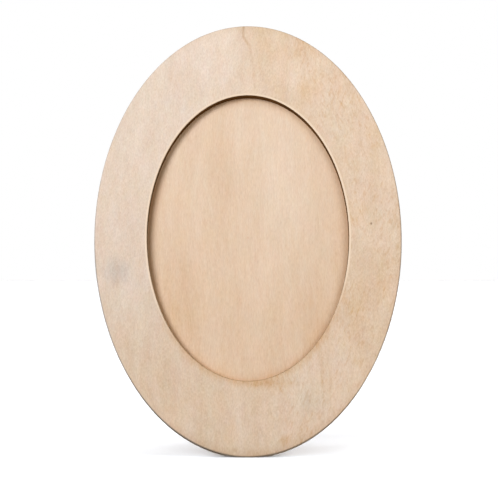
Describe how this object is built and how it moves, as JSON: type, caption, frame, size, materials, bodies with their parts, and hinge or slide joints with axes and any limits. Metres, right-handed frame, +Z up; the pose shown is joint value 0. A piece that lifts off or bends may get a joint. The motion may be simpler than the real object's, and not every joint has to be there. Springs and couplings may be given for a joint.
{
  "type": "oval picture frame",
  "caption": "Oval plywood picture frame with an oval opening, a set-back panel held by turn buttons, and a fold-out easel leg on a small hinge.",
  "frame": {"origin": "on the surface it stands on, in the middle of its footprint, standing on its open leg", "axes": "+Z up, -Y the way the face looks, +X to the right seen from the front"},
  "size_m": [0.178, 0.091, 0.2498],
  "materials": {
    "face_plywood": "raw sanded plywood with scorched cut edges",
    "rear_plywood": "raw plywood with scorched cut edges",
    "panel_plywood": "raw plywood, warmer than the face",
    "hinge_steel": "yellow zinc plated sheet",
    "screw_steel": "zinc plated",
    "button_steel": "zinc plated stamped sheet"
  },
  "bodies": {
    "frame": {"face_ring": "face_plywood", "rear_ring": "rear_plywood", "backing_panel": "panel_plywood", "hinge_block": "rear_plywood", "hinge_leaf_block": "hinge_steel", "hinge_pin": "hinge_steel", "hinge_screws_block": "screw_steel", "turn_button_screws": "screw_steel"},
    "leg": {"easel_leg": "rear_plywood", "hinge_leaf_leg": "hinge_steel", "hinge_screws_leg": "screw_steel"},
    "button_1": {"turn_button_1": "button_steel"},
    "button_2": {"turn_button_2": "button_steel"},
    "button_3": {"turn_button_3": "button_steel"},
    "button_4": {"turn_button_4": "button_steel"}
  },
  "joints": [
    {"name": "leg_hinge", "type": "hinge", "parent": "frame", "child": "leg", "pos_m": [0, 0.00877, 0.18113], "axis": [1, 0, 0], "range_deg": [-24, 0]},
    {"name": "button_turn_1", "type": "hinge", "parent": "frame", "child": "button_1", "pos_m": [-0.05503, 0.00391, 0.1828], "axis": [0, 0.9781, -0.2079], "continuous": true},
    {"name": "button_turn_2", "type": "hinge", "parent": "frame", "child": "button_2", "pos_m": [0.05503, 0.00391, 0.1828], "axis": [0, 0.9781, -0.2079], "continuous": true},
    {"name": "button_turn_3", "type": "hinge", "parent": "frame", "child": "button_3", "pos_m": [-0.05503, -0.02151, 0.06321], "axis": [0, 0.9781, -0.2079], "continuous": true},
    {"name": "button_turn_4", "type": "hinge", "parent": "frame", "child": "button_4", "pos_m": [0.05503, -0.02151, 0.06321], "axis": [0, 0.9781, -0.2079], "continuous": true}
  ]
}
